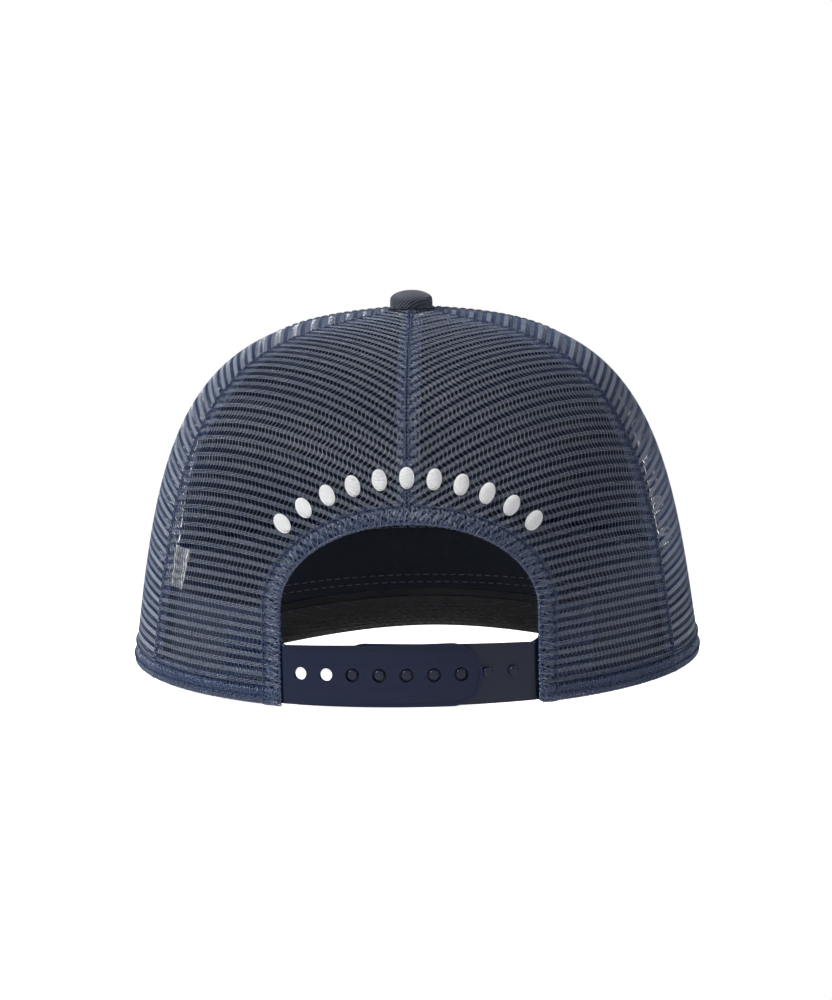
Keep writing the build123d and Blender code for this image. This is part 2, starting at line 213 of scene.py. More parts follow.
def place_along(azimuth):
    """Knit laid along a seam: x across it, y up it."""
    a = math.radians(azimuth)

    def place(ys, xs):
        phi = np.broadcast_to(phi_at(ys)[:, None], xs.shape)
        r = np.linalg.norm(crown(np.full_like(phi, a), phi)[..., :2], axis=-1)
        return a + xs / np.maximum(r, 1.0), phi, r > SEAM_TOP_RADIUS

    return place


class Shape:
    """Gathers vertices and faces in the ring frame, in millimetres, and makes one object."""

    def __init__(self):
        self.points, self.faces, self.flat, self.count = [], [], [], 0

    def add(self, points, faces, flat=None, material=0):
        points = points.reshape(-1, 3)
        for f in faces:
            if len(f):
                self.faces.append((np.asarray(f) + self.count, material))
        self.points.append(points)
        self.flat.append(points[:, :2] if flat is None else flat.reshape(-1, 2))
        self.count += len(points)

    def slab(self, outer, inner, flat):
        """A closed sheet with thickness between two grids of points."""
        n, m = outer.shape[:2]
        i = np.arange(n * m).reshape(n, m)
        q = np.stack([i[:-1, :-1], i[1:, :-1], i[1:, 1:], i[:-1, 1:]], -1).reshape(-1, 4)
        edge = np.concatenate([i[:, 0], i[-1, 1:], i[-2::-1, -1], i[0, -2:0:-1]])
        after = np.roll(edge, -1)
        rim = np.stack([edge, after, after + n * m, edge + n * m], -1)
        both = np.concatenate([outer.reshape(-1, 3), inner.reshape(-1, 3)])
        self.add(both, [q, q[:, ::-1] + n * m, rim], np.concatenate([flat.reshape(-1, 2)] * 2))

    def tubes(self, p, normal, radius, sides=4, keep=None, material=0):
        """Threads along lines of points, p[line, point], capped wherever a line starts or stops."""
        lines, n = p.shape[:2]
        if lines == 0:
            return
        keep = np.ones((lines, n), bool) if keep is None else keep
        t = unit(np.gradient(p, axis=1)) if n > 2 else np.repeat(unit(p[:, 1:] - p[:, :1]), 2, 1)
        side = unit(np.cross(normal, t))
        up = np.cross(t, side)
        a = np.arange(sides) * 2 * math.pi / sides + math.pi / sides
        r = np.broadcast_to(radius, (lines, n))[:, :, None, None]
        ring = r * (np.cos(a)[:, None] * side[:, :, None] + np.sin(a)[:, None] * up[:, :, None])
        v = (p[:, :, None] + ring).reshape(-1, 3)
        i = np.arange(lines * n * sides).reshape(lines, n, sides)
        joined = keep[:, :-1] & keep[:, 1:]
        a0, a1 = i[:, :-1][joined], i[:, 1:][joined]
        q = np.stack([a0, np.roll(a0, -1, 1), np.roll(a1, -1, 1), a1], -1).reshape(-1, 4)
        before = np.concatenate([np.zeros((lines, 1), bool), joined], 1)
        after = np.concatenate([joined, np.zeros((lines, 1), bool)], 1)
        starts, ends = i[after & ~before][:, ::-1], i[before & ~after]
        used, back = np.unique(np.concatenate([q.ravel(), starts.ravel(), ends.ravel()]), return_inverse=True)
        back = back.ravel()
        cut = [q.size, q.size + starts.size]
        faces = [b.reshape(-1, k) for b, k in zip(np.split(back, cut), (4, sides, sides))]
        self.add(v[used], faces, material=material)

    def build(self, name, materials, slot, nodes=(), recalc=False, body="crown"):
        """Makes the object, with the flat coordinates that its cloth is drawn in as its UV map."""
        points = np.concatenate(self.points)
        v = ORIGIN + points @ RING
        totals = np.concatenate([np.full(len(f), f.shape[1]) for f, m in self.faces])
        corners = np.concatenate([f.ravel() for f, m in self.faces]).astype(np.int32)
        mesh = bpy.data.meshes.new(name)
        mesh.vertices.add(len(v))
        mesh.vertices.foreach_set("co", v.astype(np.float32).ravel())
        mesh.loops.add(len(corners))
        mesh.loops.foreach_set("vertex_index", corners)
        mesh.polygons.add(len(totals))
        starts = np.concatenate([[0], np.cumsum(totals)[:-1]])
        mesh.polygons.foreach_set("loop_start", starts.astype(np.int32))
        slots = np.concatenate([np.full(len(f), m) for f, m in self.faces])
        mesh.polygons.foreach_set("material_index", slots.astype(np.int32))
        mesh.polygons.foreach_set("use_smooth", np.ones(len(totals), bool))
        for m in materials:
            mesh.materials.append(m)
        layer = mesh.uv_layers.new(name="flat")
        uv = np.concatenate(self.flat)[corners] * FLAT_SCALE
        layer.data.foreach_set("uv", uv.astype(np.float32).ravel())
        mesh.update()
        mesh.validate()
        if recalc:
            bm = bmesh.new()
            bm.from_mesh(mesh)
            bmesh.ops.recalc_face_normals(bm, faces=bm.faces)
            bm.to_mesh(mesh)
            bm.free()
        made = bpy.data.objects.new(name, mesh)
        bpy.context.scene.collection.objects.link(made)
        if body:
            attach(made, body)
        if nodes:
            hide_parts(*nodes)
        return made


def knit(shape, place, low, high, left, right, depth=KNIT_DEPTH, keep=None, pitch=WALE_PITCH,
         period=ROW_PERIOD, wale=WALE_RADIUS, rung=RUNG_RADIUS, shift=0.0, rung_material=1):
    """Warp-knit mesh: zigzag wales joined by two bands of rungs, one band straight and one oblique."""
    steps = np.array([0, 0.13, 0.25, 0.375, 0.5, 0.63, 0.75, 0.875])
    slants = np.array([0, 0, 0, 0.5, 1, 1, 1, 0.5]) * SLANT * pitch / WALE_PITCH
    swell = np.array([1.05, 1.12, 1.05, 0.85, 1.05, 1.12, 1.05, 0.85])
    count = int((high - low) / period) + 1
    ys = (low + period * (np.arange(count)[:, None] + steps)).ravel()
    columns = np.arange(math.floor(left / pitch), math.ceil(right / pitch) + 1) * pitch + shift
    wander = rng.normal(0, WANDER, (len(ys), len(columns)))
    xs = columns[None] + np.tile(slants, count)[:, None] + wander

    def points(y, x, at):
        theta, phi, inside = place(y, x)
        p = crown(theta, phi, at)
        ok = inside & (y < ARC[-1] - TOP_CLEAR)[:, None]
        return p, crown_normal(theta, phi), ok if keep is None else ok & keep(p)

    p, normal, ok = points(ys, xs, depth)
    radius = np.tile(swell, count)[None] * wale
    shape.tubes(p.transpose(1, 0, 2), normal.transpose(1, 0, 2), radius, keep=ok.T)
    # each band of rungs: where it starts in the period, its slant, and half its fall from wale to wale
    for first, slant, tilt in ((0.02, 0.0, 0.0), (0.53, slants[4], period * 0.043)):
        rows = (low + period * (np.arange(count)[:, None] + first + np.array([0.02, 0.105, 0.19]))).ravel()
        x0 = np.broadcast_to(columns[:-1] + slant - RUNG_LAP, (len(rows), len(columns) - 1))
        x1 = np.broadcast_to(columns[1:] + slant + RUNG_LAP, x0.shape)
        p0, n0, ok0 = points(rows + tilt, x0, depth - RUNG_LAP)
        p1, n1, ok1 = points(rows - tilt, x1, depth - RUNG_LAP)
        both = ok0 & ok1
        line = np.stack([p0[both], p1[both]], 1)
        # rung_material 1 draws these rungs in the rung yarn, whose light grey is painted highlight
        shape.tubes(line, np.stack([n0[both], n1[both]], 1), rung, material=rung_material)


def mirror_points(p):
    return p * np.array([-1.0, 1.0, 1.0])


def mirrored(shape):
    """The same shape on the wearer's other side, its faces turned to stay outward."""
    other = Shape()
    other.points = [mirror_points(p) for p in shape.points]
    other.faces = [(f[:, ::-1], m) for f, m in shape.faces]
    other.flat, other.count = shape.flat, shape.count
    return other


def build_pair(shape, name, look, materials, slot, **how):
    """Builds a left piece and its mirror image on the right."""
    for side, made in (("left", shape), ("right", mirrored(shape))):
        made.build(f"{name}_{side}_{look}", materials, slot, [f"{name}_{side}"], **how)


def resample(p, step):
    """Points at even steps along a line."""
    run = distances(p)
    at = np.arange(0, run[-1], step)
    return np.stack([np.interp(at, run, p[:, k]) for k in range(3)], -1)


def stitches(shape, p, normal, pitch=3.0, radius=0.2, proud=0.12, material=0):
    """A row of sewn stitches along a line: each comes up, lies along the cloth and goes down."""
    run = distances(p)
    starts = np.arange(0.3, run[-1] - pitch, pitch)
    starts = starts + rng.normal(0, pitch * 0.02, len(starts))
    f = np.array([0, 0.08, 0.25, 0.5, 0.75, 0.92, 1.0])
    lift = np.array([-1.5, 0.1, 0.85, 1.0, 0.85, 0.1, -1.5]) * proud
    at = starts[:, None] + f * pitch * STITCH_COVER
    q = np.stack([np.interp(at, run, p[:, k]) for k in range(3)], -1)
    n = unit(np.stack([np.interp(at, run, normal[:, k]) for k in range(3)], -1))
    shape.tubes(q + n * lift[None, :, None], n, radius, sides=6, material=material)


# ---------------------------------------------------------------- materials
def node(tree, kind, inputs=None, **attributes):
    made = tree.nodes.new(kind)
    for key, value in attributes.items():
        setattr(made, key, value)
    for key, value in (inputs or {}).items():
        if isinstance(value, bpy.types.NodeSocket):
            tree.links.new(value, made.inputs[key])
        else:
            made.inputs[key].default_value = value
    return made


def principled(name, roughness, **sockets):
    mat = bpy.data.materials.new(name)
    mat.use_nodes = True
    bsdf = mat.node_tree.nodes["Principled BSDF"]
    bsdf.inputs["Roughness"].default_value = roughness
    for key, value in sockets.items():
        bsdf.inputs[key.replace("_", " ")].default_value = value
    return mat, mat.node_tree, bsdf


def colour_between(tree, bsdf, fac, dark, light):
    mix = node(tree, "ShaderNodeMix", data_type="RGBA")
    tree.links.new(fac, mix.inputs[0])
    mix.inputs[6].default_value = (*dark, 1)
    mix.inputs[7].default_value = (*light, 1)
    tree.links.new(mix.outputs[2], bsdf.inputs["Base Color"])


def maths(tree, operation, a, b):
    return node(tree, "ShaderNodeMath", {0: a, 1: b}, operation=operation).outputs[0]


def woven(name, dark, light, rib, angle, roughness, relief, cross=0.45, **sockets):
    """Cloth whose ribs run at an angle to the piece's flat coordinates, with threads across them."""
    mat, tree, bsdf = principled(name, roughness, **sockets)
    flat = node(tree, "ShaderNodeUVMap", uv_map="flat").outputs[0]
    turned = node(tree, "ShaderNodeMapping", {"Vector": flat, "Rotation": (0, 0, angle)}).outputs[0]
    scale = WAVE_PERIOD / (rib * FLAT_SCALE)
    ribs = node(tree, "ShaderNodeTexWave", {"Vector": turned, "Scale": scale, "Distortion": 0.6,
                                            "Detail": 2.0, "Detail Scale": 2.0}).outputs[1]
    threads = node(tree, "ShaderNodeTexWave", {"Vector": flat, "Scale": scale * 1.35, "Distortion": 0.5,
                                               "Detail": 1.0}, bands_direction="Y").outputs[1]
    slub = node(tree, "ShaderNodeTexNoise", {"Vector": flat, "Scale": 3.0, "Detail": 6.0}).outputs[0]
    weave = maths(tree, "ADD", ribs, maths(tree, "MULTIPLY", threads, cross))
    tone = maths(tree, "MULTIPLY", weave, maths(tree, "ADD", slub, 0.15))
    colour_between(tree, bsdf, tone, dark, light)
    bump = node(tree, "ShaderNodeBump", {"Height": weave, "Strength": 0.7, "Distance": relief})
    tree.links.new(bump.outputs[0], bsdf.inputs["Normal"])
    return mat


def grained(name, dark, light, scale, roughness, relief, **sockets):
    """A moulded, foamed or spun surface with an even grain."""
    mat, tree, bsdf = principled(name, roughness, **sockets)
    place = node(tree, "ShaderNodeTexCoord").outputs["Object"]
    grain = node(tree, "ShaderNodeTexNoise", {"Vector": place, "Scale": scale, "Detail": 4.0}).outputs[0]
    cloud = node(tree, "ShaderNodeTexNoise", {"Vector": place, "Scale": scale / 9, "Detail": 2.0}).outputs[0]
    tone = maths(tree, "MULTIPLY", maths(tree, "ADD", grain, cloud), 0.55)
    colour_between(tree, bsdf, tone, dark, light)
    rough = node(tree, "ShaderNodeMapRange", {"Value": cloud, "From Min": 0.3, "From Max": 0.7,
                                              "To Min": roughness * 0.85, "To Max": roughness * 1.2})
    tree.links.new(rough.outputs[0], bsdf.inputs["Roughness"])
    bump = node(tree, "ShaderNodeBump", {"Height": grain, "Strength": 0.5, "Distance": relief})
    tree.links.new(bump.outputs[0], bsdf.inputs["Normal"])
    return mat


def yarn(name, colour, roughness, **sockets):
    mat, _, bsdf = principled(name, roughness, **sockets)
    bsdf.inputs["Base Color"].default_value = (*colour, 1)
    return mat


# yarns: colour and roughness
wale_yarn = yarn("mesh_wale_yarn", (0.016, 0.037, 0.102), 0.30, Specular_IOR_Level=0.8)
# the rungs are the same glossy navy yarn as the wales; their light grey is painted highlight, the yarn's
# white glints painted into its base colour
painted_highlight_rung_yarn = yarn("mesh_rung_yarn", (0.215, 0.245, 0.310), 0.25, Specular_IOR_Level=1.0)
mesh_yarns = [wale_yarn, painted_highlight_rung_yarn]

# cloths: dark, light, millimetres from rib to rib, the ribs' angle in radians, roughness, relief in metres
front_cloth = woven("front_twill", (0.006, 0.010, 0.026), (0.020, 0.032, 0.075),
                    0.55, 0.9, 0.82, 0.00012, Sheen_Weight=0.25)
button_cloth = woven("button_twill", (0.003, 0.004, 0.010), (0.040, 0.050, 0.085),
                     1.0, 0.9, 0.75, 0.0002, Sheen_Weight=0.3)
under_cloth = woven("visor_under_weave", (0.008, 0.009, 0.012), (0.022, 0.024, 0.030),
                    0.5, 0.0, 0.85, 0.0001, cross=0.9)
band_cloth = woven("sweatband_weave", (0.005, 0.008, 0.018), (0.016, 0.022, 0.046), 0.6, 0.785, 0.88, 0.00012)
tape_cloth = woven("seam_tape_weave", (0.004, 0.006, 0.014), (0.014, 0.020, 0.040), 0.8, 1.2, 0.85, 0.00015)
label_cloth = woven("label_satin", (0.45, 0.46, 0.46), (0.78, 0.78, 0.76), 0.3, 0.0, 0.45, 0.00003)

# grained surfaces: dark, light, the grain's scale, roughness and relief in metres
foam_mat = grained("front_foam", (0.003, 0.004, 0.007), (0.012, 0.014, 0.022), 900.0, 0.95, 0.0003)
plastic = grained("strap_plastic", (0.0025, 0.006, 0.023), (0.0045, 0.009, 0.033),
                  260.0, 0.25, 0.00003, Specular_IOR_Level=0.2)
inner_plastic = grained("inner_strap_plastic", (0.004, 0.007, 0.020), (0.007, 0.010, 0.028),
                        260.0, 0.34, 0.00003, Specular_IOR_Level=0.3)
board_mat = grained("visor_board", (0.006, 0.007, 0.010), (0.016, 0.018, 0.024), 200.0, 0.6, 0.00005)
metal = grained("button_metal", (0.50, 0.49, 0.46), (0.62, 0.61, 0.58), 400.0, 0.35, 0.00002, Metallic=1.0)
navy_thread = grained("navy_thread", (0.008, 0.014, 0.040), (0.030, 0.045, 0.100), 1500.0, 0.5, 0.00005)
grey_thread = grained("grey_thread", (0.06, 0.065, 0.08), (0.15, 0.16, 0.18), 1500.0, 0.5, 0.00005)
white_thread = grained("white_thread", (0.42, 0.43, 0.45), (0.80, 0.80, 0.80),
                       1500.0, 0.45, 0.00005, Sheen_Weight=0.2)
edge_mats = [*mesh_yarns, navy_thread]

# ---------------------------------------------------------------- knitted panels
rear_gore = Gore(SIDE_SEAM + SEAM_CLEAR, REAR_SEAM - SEAM_CLEAR, REAR_SQUARE)
side_gore = Gore(FRONT_SEAM + SEAM_CLEAR, SIDE_SEAM - SEAM_CLEAR, SIDE_SQUARE)
rear_left = Shape()
knit(rear_left, rear_gore.place, HEM_CLEAR, ARC[-1], -45, 95, keep=lambda p: ~in_opening(p, 0.3))
build_pair(rear_left, "rear_mesh", "knit", mesh_yarns, "mesh_yarn")
side_left = Shape()
knit(side_left, side_gore.place, HEM_CLEAR, ARC[-1], -50, 50, pitch=SIDE_PITCH, wale=SIDE_WALE,
     rung=SIDE_RUNG)
build_pair(side_left, "side_mesh", "knit", mesh_yarns, "mesh_yarn")


# ---------------------------------------------------------------- folded edges of the mesh
def outline_behind(grow, step):
    """The back opening's edge, grown all round: x, height and the way out of it."""
    half = OPEN_HALF + grow
    arch = np.linspace(0, math.pi, 200)
    upright = np.linspace(HEM_CLEAR, OPEN_STRAIGHT, 40)
    x = np.concatenate([np.full(40, half), half * np.cos(arch), np.full(40, -half)])
    z = np.concatenate([upright, OPEN_STRAIGHT + (OPEN_RISE + grow) * np.sin(arch), upright[::-1]])
    p = resample(np.stack([x, z, 0 * x], -1), step)
    t = unit(np.gradient(p, axis=0))
    return p[:, 0], p[:, 1], t[:, 1], -t[:, 0]


def behind(x, z, depth):
    """Points of the crown behind the head, at distances across and heights, and the way out there."""
    phi = phi_of_height(z)
    theta = azimuth_of_x(x, phi)
    return crown(theta, phi, depth), crown_normal(theta, phi)


def edge_net(shape, reach, slip, step, radius=0.15, material=0):
    """Slanted threads that run over the opening's folded edge, from its outer to its inner layer."""
    x, z, ox, oz = outline_behind(0.0, step)
    along = np.stack([-oz, ox], -1)
    out = np.array([reach, reach * 0.66, reach * 0.33, 0.25, 0.0, 0.25, reach * 0.33, reach * 0.66, reach])
    depth = np.array([0.35, 0.3, 0.25, 0.3, 0.75, 1.2, 1.3, 1.3, 1.3])
    slide = np.array([1.0, 0.66, 0.33, 0.1, 0.0, -0.1, -0.33, -0.66, -1.0]) * slip
    slide = slide + rng.normal(0, 0.25, (len(x), len(slide)))
    px = x[:, None] + ox[:, None] * out + along[:, :1] * slide
    pz = z[:, None] + oz[:, None] * out + along[:, 1:] * slide
    p, n = behind(px, np.maximum(pz, 0.1), depth[None])
    outward = unit(np.mean(p, axis=1, keepdims=True) - p[:, 4:5])
    n = unit(n * np.array([1, 1, 1, 0.7, 0.0, -0.7, -1, -1, -1])[None, :, None]
             - outward * np.array([0, 0, 0, 0.7, 1.0, 0.7, 0, 0, 0])[None, :, None])
    shape.tubes(p, n, radius, material=material)


def opening_edge():
    """The mesh turned in round the opening: an inner layer, threads over the fold, a cord and stitches."""
    shape = Shape()
    knit(shape, place_behind, 0.5, OPEN_STRAIGHT + OPEN_RISE + FACING, -SIDE_FACING, SIDE_FACING, depth=1.25,
         keep=lambda p: ~in_opening(p, 0.4) & (in_opening(p, FACING) | (p[..., 2] < OPEN_STRAIGHT)),
         pitch=1.35, period=4.6, wale=0.15, rung=0.11, shift=0.4, rung_material=0)
    edge_net(shape, 5.5, 3.2, 1.5)
    edge_net(shape, 5.5, -3.2, 1.5)
    # thin threads in the rung yarn, whose light grey is painted highlight: the glints on the doubled mesh of
    # the edge
    edge_net(shape, 4.5, 1.2, 1.9, 0.08, material=1)
    x, z, _, _ = outline_behind(0.55, 1.0)
    p, n = behind(x, np.maximum(z, 0.5), 0.8)
    shape.tubes(p[None], n[None], 0.4, sides=6)
    x, z, _, _ = outline_behind(5.6, 0.5)
    p, n = behind(x, z, 0.0)
    stitches(shape, p, n, pitch=2.9, radius=0.19, proud=0.1, material=2)
    return shape


opening_edge().build("opening_facing_knit", edge_mats, "mesh_yarn", ["opening_facing"])


def seam_fold(azimuth, low):
    """The turned-in edges along a seam: doubled knit inside, with a row of stitches on each side."""
    shape = Shape()
    place = place_along(azimuth)
    top = ARC[-1] - 8
    knit(shape, place, low, top, -3.2, 3.2, depth=1.3, pitch=1.25, period=4.4, wale=0.14, rung=0.11,
         shift=0.3, rung_material=0)
    ys = np.arange(low, top, 1.45)
    for side in (-1, 1):
        for slip in (0.9, -0.9):
            across = side * np.array([1.0, 0.75, 0.5, 0.28, 0.15, 0.5, 1.6, 2.9])
            depth = np.array([0.3, 0.25, 0.22, 0.35, 0.8, 1.25, 1.35, 1.35])
            slide = np.linspace(slip, -slip, len(depth))
            at = [place(ys + s, np.full((len(ys), 1), x))[:2] for x, s in zip(across, slide)]
            p = np.stack([crown(*spot, d)[:, 0] for spot, d in zip(at, depth)], 1)
            n = np.stack([crown_normal(*spot)[:, 0] for spot in at], 1)
            shape.tubes(p, n, 0.13)
        line = np.arange(low, top, 0.8)
        theta, phi, _ = place(line, np.full((len(line), 1), side * 2.4))
        stitches(shape, crown(theta, phi, 1.7)[:, 0], -crown_normal(theta, phi)[:, 0], pitch=2.8, radius=0.17,
                 proud=0.08, material=2)
    return shape


build_pair(seam_fold(SIDE_SEAM, 1.0), "seam_strip", "knit", edge_mats, "mesh_yarn")
above_opening = float(arc_of_height(OPEN_STRAIGHT + OPEN_RISE + 0.5))
seam_fold(REAR_SEAM, above_opening).build("seam_strip_rear_knit", edge_mats, "mesh_yarn", ["seam_strip_rear"])


def hem_fold():
    """The hem turned up inside: threads over the lower edge, two cords in it, and rows of stitches."""
    shape = Shape()
    front_end = math.radians(FRONT_SEAM + 0.6)
    back_end = math.radians(REAR_SEAM) - math.asin((OPEN_HALF + 1.4) / HALF_WIDTH)
    thetas = np.linspace(front_end, back_end, int((back_end - front_end) * MEAN_RADIUS))
    for slip in (1, -1):
        z = np.array([5.6, 3.8, 2.0, 0.6, 0.1, 0.6, 2.6, 5.0, 7.6])
        depth = np.array([0.3, 0.25, 0.25, 0.3, 0.9, 1.5, 1.7, 1.9, 2.0])
        slide = np.linspace(0.028, -0.028, len(z)) * slip
        theta = thetas[:, None] + slide + rng.normal(0, 0.003, (len(thetas), len(z)))
        theta = np.clip(theta, front_end, back_end)
        phi = np.broadcast_to(phi_of_height(z), theta.shape)
        down = np.array([0.0, 0.0, -1.0])
        turn = np.array([1, 1, 1, 0.7, 0, -0.7, -1, -1, -1])[None, :, None]
        n = unit(crown_normal(theta, phi) * turn + down * (1 - np.abs(turn)))
        shape.tubes(crown(theta, phi, depth), n, 0.16)
    line = np.linspace(front_end, back_end, 300)
    for height in (0.55, 1.4):
        phi = np.full_like(line, phi_of_height(height))
        shape.tubes(crown(line, phi, 0.85)[None], crown_normal(line, phi)[None], 0.42, sides=6)
    for height in (6.4, 2.2):
        phi = np.full_like(line, phi_of_height(height))
        stitches(shape, crown(line, phi), crown_normal(line, phi), proud=0.1, material=2)
    return shape


build_pair(hem_fold(), "hem_fold", "knit", edge_mats, "mesh_yarn")


# ---------------------------------------------------------------- front panel, foam, tapes
def hem_height_at(theta):
    """The height of the hem, which rises in front above the visor."""
    y = HALF_DEPTH * np.sin(theta)
    return np.maximum(0, (-y - VISOR_ROOT)) * math.tan(FRONT_RISE)


def visor_point(x, y, lift):
    """A point over or under the visor at a place seen from above and a height over its underside."""
    s, c = math.sin(FRONT_RISE), math.cos(FRONT_RISE)
    sag = BEND_RADIUS - np.sqrt(BEND_RADIUS**2 - x**2)
    h = np.zeros_like(x)
    for _ in range(8):
        local = (y + VISOR_ROOT - h * s) / c
        h = ROOT_SAG - HEM_GAP - PLIES + math.tan(SLOPE) * local - sag + lift
    return np.stack([x, -VISOR_ROOT + local * c + h * s, -local * s + h * c], -1)


def visor_gap(theta):
    """How far the visor's top is below the front hem."""
    x, y = HALF_WIDTH * np.cos(theta), HALF_DEPTH * np.sin(theta)
    top = visor_point(x, y, np.full_like(x, PLIES))[..., 2]
    return np.where(y < -VISOR_ROOT, np.maximum(hem_height_at(theta) - top, 0), 0)


def shell(start, end, outer, inner, top_radius, columns, rows, reach=False):
    """A layer of the crown between two azimuths, from the hem (or the visor below it) to near the top."""
    up = np.linspace(0, 1, rows)
    theta = np.radians(np.linspace(start, end, columns))[:, None]
    s0 = arc_of_height(hem_height_at(theta) + 0.05 - (visor_gap(theta) if reach else 0))
    s1 = np.interp(-top_radius, -PROFILE[:, 0], ARC)
    s = s0 + (s1 - s0) * up
    phi = phi_at(s)
    theta = np.broadcast_to(theta, phi.shape)
    flat = np.stack([theta * MEAN_RADIUS, s], -1)
    outer, inner = crown(theta, phi, outer), crown(theta, phi, inner)
    if reach:
        # the visor's corners lie below the crown's own foot, so the lowest rows are drawn down to them
        short = np.maximum(visor_gap(theta) - hem_height_at(theta), 0) * np.clip(1 - 6 * up, 0, 1)
        outer[..., 2] -= short
        inner[..., 2] -= short
    return theta, phi, flat, outer, inner


front = Shape()
theta, phi, flat, outer, inner = shell(OTHER_FRONT_SEAM + 0.12, FRONT_SEAM - 0.12, 0.0, PANEL_DEPTH, 2.0, 200,
                                       130, reach=True)
# the cloth dips at its seams and lies a little unevenly
from_seam = np.minimum(np.abs(np.degrees(theta) - FRONT_SEAM), np.abs(np.degrees(theta) - OTHER_FRONT_SEAM))
seam_dip = 0.5 * np.exp(-((from_seam / 0.45) ** 2))
ease = 0.12 * np.sin(theta * 9 + phi * 3) * np.sin(phi * 5 + theta * 2)
outer = outer - crown_normal(theta, phi) * (seam_dip + 0.12 + ease)[..., None]
front.slab(outer, inner, flat)
front.build("front_panel_cloth", [front_cloth], "front_cloth", ["front_panel"], recalc=True)

foam = Shape()
_, _, flat, outer, inner = shell(OTHER_FRONT_SEAM + 1, FRONT_SEAM - 1, 1.0, 2.9, 11.0, 120, 80)
foam.slab(outer, inner, flat)
foam_piece = foam.build("front_foam_sheet", [foam_mat], "foam", ["front_foam_backing"], recalc=True)


def front_tape():
    """The tape that covers a front seam inside, with a row of stitches along each edge."""
    shape = Shape()
    place = place_along(FRONT_SEAM)
    ys = np.linspace(float(arc_of_height(BAND_HEIGHT + 1)), ARC[-1] - 12, 90)
    xs = np.linspace(-TAPE_HALF, TAPE_HALF, 13)
    theta, phi, _ = place(ys, np.broadcast_to(xs, (len(ys), len(xs))))
    flat = np.stack([np.broadcast_to(xs, theta.shape), np.broadcast_to(ys[:, None], theta.shape)], -1)
    pillow = 0.12 * (1 - (xs / TAPE_HALF) ** 2)
    shape.slab(crown(theta, phi, TAPE_DEPTH + pillow), crown(theta, phi, TAPE_DEPTH + 0.4 + pillow), flat)
    for side in (-1, 1):
        theta, phi, _ = place(ys, np.full((len(ys), 1), side * (TAPE_HALF - 1.1)))
        stitches(shape, crown(theta, phi, TAPE_DEPTH + 0.42)[:, 0], -crown_normal(theta, phi)[:, 0],
                 radius=0.18, material=1)
    return shape


build_pair(front_tape(), "seam_tape_front", "cloth", [tape_cloth, grey_thread], "seam_tape", recalc=True)

# rows of stitches in the front cloth beside its seams
topstitch = Shape()
place = place_along(FRONT_SEAM)
ys = np.arange(5, ARC[-1] - 8, 0.8)
for away in (-1.9, -6.2):
    theta, phi, _ = place(ys, np.full((len(ys), 1), away))
    n = crown_normal(theta, phi)[:, 0]
    p = crown(theta, phi)[:, 0] - n * 0.1
    stitches(topstitch, p, n)
    stitches(topstitch, mirror_points(p), mirror_points(n))
topstitch.build("front_seam_stitches", [navy_thread], "thread", recalc=True)


# ---------------------------------------------------------------- sweatband, pad and label
def band_sheet(low, high, start, end, columns, rows):
    """A grid round the inside, between two heights, which narrows where the hem rises to the visor."""
    theta = np.radians(np.linspace(start, end, columns))[:, None]
    z = hem_height_at(theta) + low + (high - low - hem_height_at(theta)) * np.linspace(0, 1, rows)
    theta = np.broadcast_to(theta, z.shape)
    return theta, z, np.stack([theta * HALF_WIDTH, z], -1)


BAND_OUTER, BAND_INNER = 4.2, 5.0
BAND_ROWS = (3.4, 6.6, 27.4)
band_gap = math.degrees(math.asin((OPEN_HALF + 4.2) / HALF_WIDTH))
band_start, band_end = REAR_SEAM + band_gap, REAR_SEAM + 360 - band_gap
theta, z, flat = band_sheet(0.35, BAND_HEIGHT - 0.05, band_start, band_end, 360, 44)
phi = phi_of_height(z)
row_dip = 0.25 * sum(np.exp(-(((z - row) / 0.9) ** 2)) for row in (BAND_ROWS[0], BAND_ROWS[-1]))
round_top = 0.3 * np.clip((z - 29.6) / 1.4, 0, 1) ** 2
band = Shape()
outer = crown(theta, phi, BAND_OUTER + round_top)
inner = crown(theta, phi, BAND_INNER - row_dip - round_top * 0.8)
band.slab(outer, inner, flat)
line = np.radians(np.linspace(band_start + 0.5, band_end - 0.5, 700))
for height in BAND_ROWS:
    phi = phi_of_height(hem_height_at(line) + height * (1 - hem_height_at(line) / BAND_HEIGHT))
    stitches(band, crown(line, phi, BAND_INNER - 0.14), -crown_normal(line, phi), pitch=3.2, radius=0.21,
             proud=0.16, material=1)
band.build("sweatband_cloth", [band_cloth, grey_thread], "sweatband_cloth", ["sweatband"], recalc=True)

PAD_OUTER, PAD_INNER = 3.1, 4.05
theta, z, flat = band_sheet(1.1, 27.0, OTHER_FRONT_SEAM + 4, FRONT_SEAM - 4, 120, 24)
phi = phi_of_height(z)
pad = Shape()
pad.slab(crown(theta, phi, PAD_OUTER), crown(theta, phi, PAD_INNER), flat)
pad_piece = pad.build("sweatband_padding", [foam_mat], "foam", ["sweatband_pad"], recalc=True)

LABEL_NEAR, LABEL_FAR, LABEL_LOW, LABEL_HIGH = 26.6, 45.4, 14.1, 44.8
LABEL_OUTER, LABEL_INNER = 5.12, 5.36


def across_to_azimuth(y, phi):
    """The azimuth at which the crown's left side passes a distance y behind the middle."""
    return np.arcsin(np.clip(y / (crown(np.zeros_like(phi), phi)[..., 0] * STRETCH), -1, 1))


